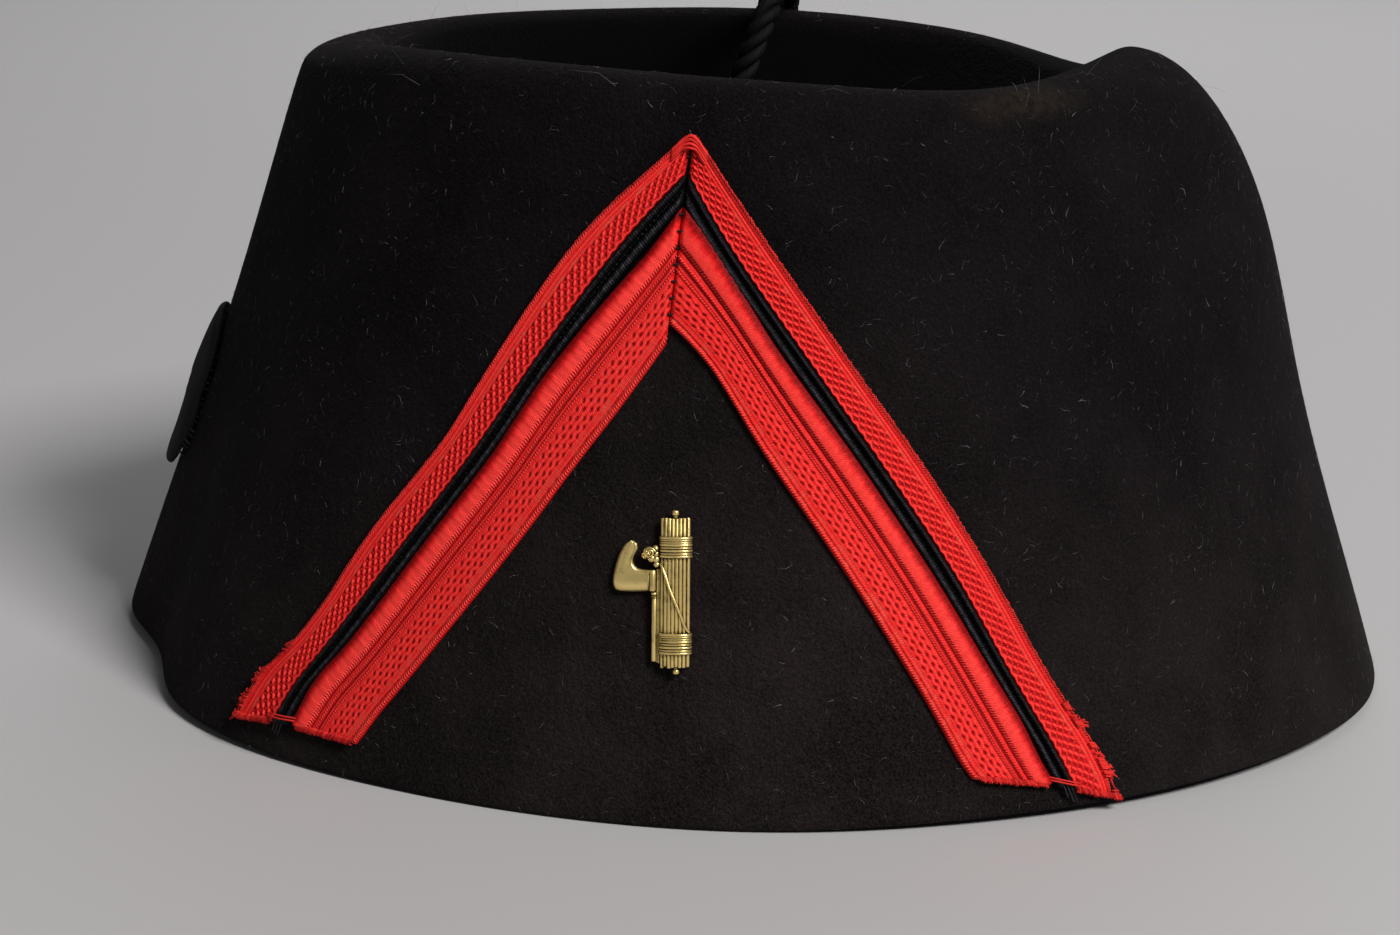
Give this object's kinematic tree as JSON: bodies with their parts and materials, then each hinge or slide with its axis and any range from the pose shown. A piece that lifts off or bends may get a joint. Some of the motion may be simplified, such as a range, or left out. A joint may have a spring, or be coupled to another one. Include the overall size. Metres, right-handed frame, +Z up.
{
  "type": "fez",
  "caption": "Stiff black felt fez with a pushed-in crown, a chevron of red laces and black braid and a brass pin on its left, a front patch and a cord ending in a tassel.",
  "frame": {"origin": "on the resting plane, under the middle of the hem's box", "axes": "+Z up, -Y towards the wearer's front, +X towards the wearer's left, where the chevron is"},
  "size_m": [0.1943, 0.208, 0.1107],
  "materials": {
    "black_felt": "dense wool felt with short pale lint and a little rust-brown fading at the back fold",
    "patch_cloth": "matt black cloth",
    "red_lace": "woven lace with ribs, basket weave and a satin roll",
    "black_braid": "two-ridged soutache braid",
    "black_cord": "twisted silk cord and strands",
    "brass": "stamped and polished, darker in its grooves"
  },
  "bodies": {
    "root": {"crown": "black_felt", "crown_stem": "black_felt", "front_patch": "patch_cloth", "narrow_lace": "red_lace", "black_braid": "black_braid", "wide_lace": "red_lace", "badge": "brass", "badge_post": "brass", "cord": "black_cord", "tassel_knot": "black_cord", "tassel_fringe": "black_cord"}
  },
  "joints": []
}
